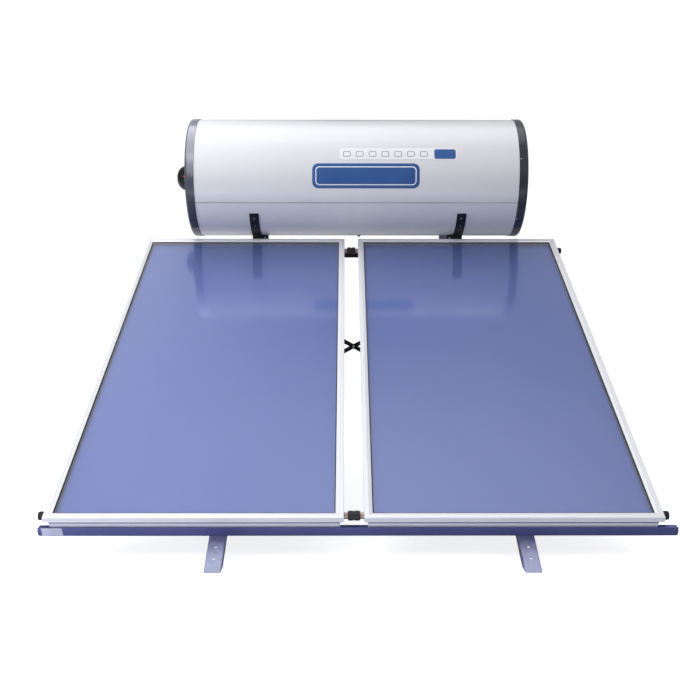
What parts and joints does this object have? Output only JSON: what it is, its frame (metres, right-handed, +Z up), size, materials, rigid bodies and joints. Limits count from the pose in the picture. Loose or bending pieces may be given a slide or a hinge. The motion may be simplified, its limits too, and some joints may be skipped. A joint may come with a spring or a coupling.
{
  "type": "solar water heater",
  "caption": "Thermosiphon solar water heater: flat-plate collectors on a sloped flat-roof stand with an insulated horizontal tank above them.",
  "frame": {"origin": "ground level, under the middle of the whole heater's outline", "axes": "+Z up, +X to the right seen from the sunny side, +Y from the collectors' lower edge towards the tank"},
  "size_m": [2.154, 2.241, 1.7635],
  "materials": {
    "anodised_frame": "satin",
    "case_aluminium": "satin",
    "mill_aluminium": "matte",
    "mineral_wool": "matte",
    "blue_absorber": "satin",
    "copper": "satin",
    "solar_glass": "gloss",
    "black_rubber": "matte",
    "black_fittings": "satin",
    "white_enamel_shell": "gloss",
    "vessel_enamel": "satin",
    "jacket_steel": "matte",
    "foam": "matte",
    "grey_plastic": "satin",
    "black_gloss_plastic": "gloss",
    "red_lens": "gloss",
    "white_plastic": "satin",
    "zinc_steel": "satin",
    "brass_body": "satin",
    "galvanised_steel": "satin",
    "blue_grey_rail": "satin",
    "black_paint": "satin",
    "magnesium": "matte"
  },
  "bodies": {
    "heater": {"anode_rod": "magnesium", "bottom_rail": "blue_grey_rail", "brace_bars": "black_paint", "cap_screws": "zinc_steel", "collector_back_sheets": "mill_aluminium", "collector_bolts": "zinc_steel", "collector_insulation": "mineral_wool", "collector_left_absorber": "blue_absorber", "collector_left_bezel": "anodised_frame", "collector_left_case": "case_aluminium", "collector_left_gasket": "black_rubber", "collector_left_glass": "solar_glass", "collector_left_tubes": "copper", "collector_right_absorber": "blue_absorber", "collector_right_bezel": "anodised_frame", "collector_right_case": "case_aluminium", "collector_right_gasket": "black_rubber", "collector_right_glass": "solar_glass", "collector_right_tubes": "copper", "cradle_bracket_left": "black_paint", "cradle_bracket_right": "black_paint", "cradle_left": "black_paint", "cradle_right": "black_paint", "drain_plug": "black_gloss_plastic", "end_cap_left": "grey_plastic", "end_cap_right": "grey_plastic", "flange_bolts": "zinc_steel", "flange_gasket": "black_rubber", "frame_bolts": "zinc_steel", "frame_spacers": "zinc_steel", "front_foot_left": "galvanised_steel", "front_foot_right": "galvanised_steel", "header_end_caps": "black_rubber", "header_grommets": "black_rubber", "heater_element": "copper", "heater_flange": "zinc_steel", "heating_jacket": "jacket_steel", "inner_tank": "vessel_enamel", "port_rosettes": "black_rubber", "rail_end_plugs": "grey_plastic", "rear_leg_left": "galvanised_steel", "rear_leg_right": "galvanised_steel", "relief_valve_body": "brass_body", "sloped_rail_left": "galvanised_steel", "sloped_rail_right": "galvanised_steel", "tank_insulation": "foam", "tank_nipples": "zinc_steel", "tank_shell": "white_enamel_shell", "thermostat_body": "white_plastic", "tie_bar_left": "galvanised_steel", "tie_bar_right": "galvanised_steel", "top_rail": "black_paint", "union_bodies": "black_fittings", "union_nuts": "black_fittings"},
    "cover": {"thermostat_cover": "black_gloss_plastic", "pilot_lamp": "red_lens", "cable_gland": "black_gloss_plastic"},
    "knob": {"thermostat_knob": "red_lens"},
    "lever": {"relief_valve_lever": "zinc_steel"},
    "stem": {"relief_valve_stem": "brass_body"}
  },
  "joints": [
    {"name": "cover_pull", "type": "slide", "parent": "heater", "child": "cover", "axis": [-1, 0, 0], "range_m": [0, 0.12]},
    {"name": "knob_turn", "type": "hinge", "parent": "heater", "child": "knob", "pos_m": [-0.84, 0.76048, 1.46848], "axis": [-1, 0, 0], "range_deg": [0, 270]},
    {"name": "lever_lift", "type": "hinge", "parent": "heater", "child": "lever", "pos_m": [0.8875, 0.89469, 1.33927], "axis": [0, 1, 0], "range_deg": [0, 20]},
    {"name": "stem_lift", "type": "slide", "parent": "heater", "child": "stem", "axis": [1, 0, 0], "range_m": [0, 0.0047]}
  ],
  "couplings": [
    {"joint": "stem_lift", "follows": "lever_lift", "m_per_rad": 0.0132}
  ]
}
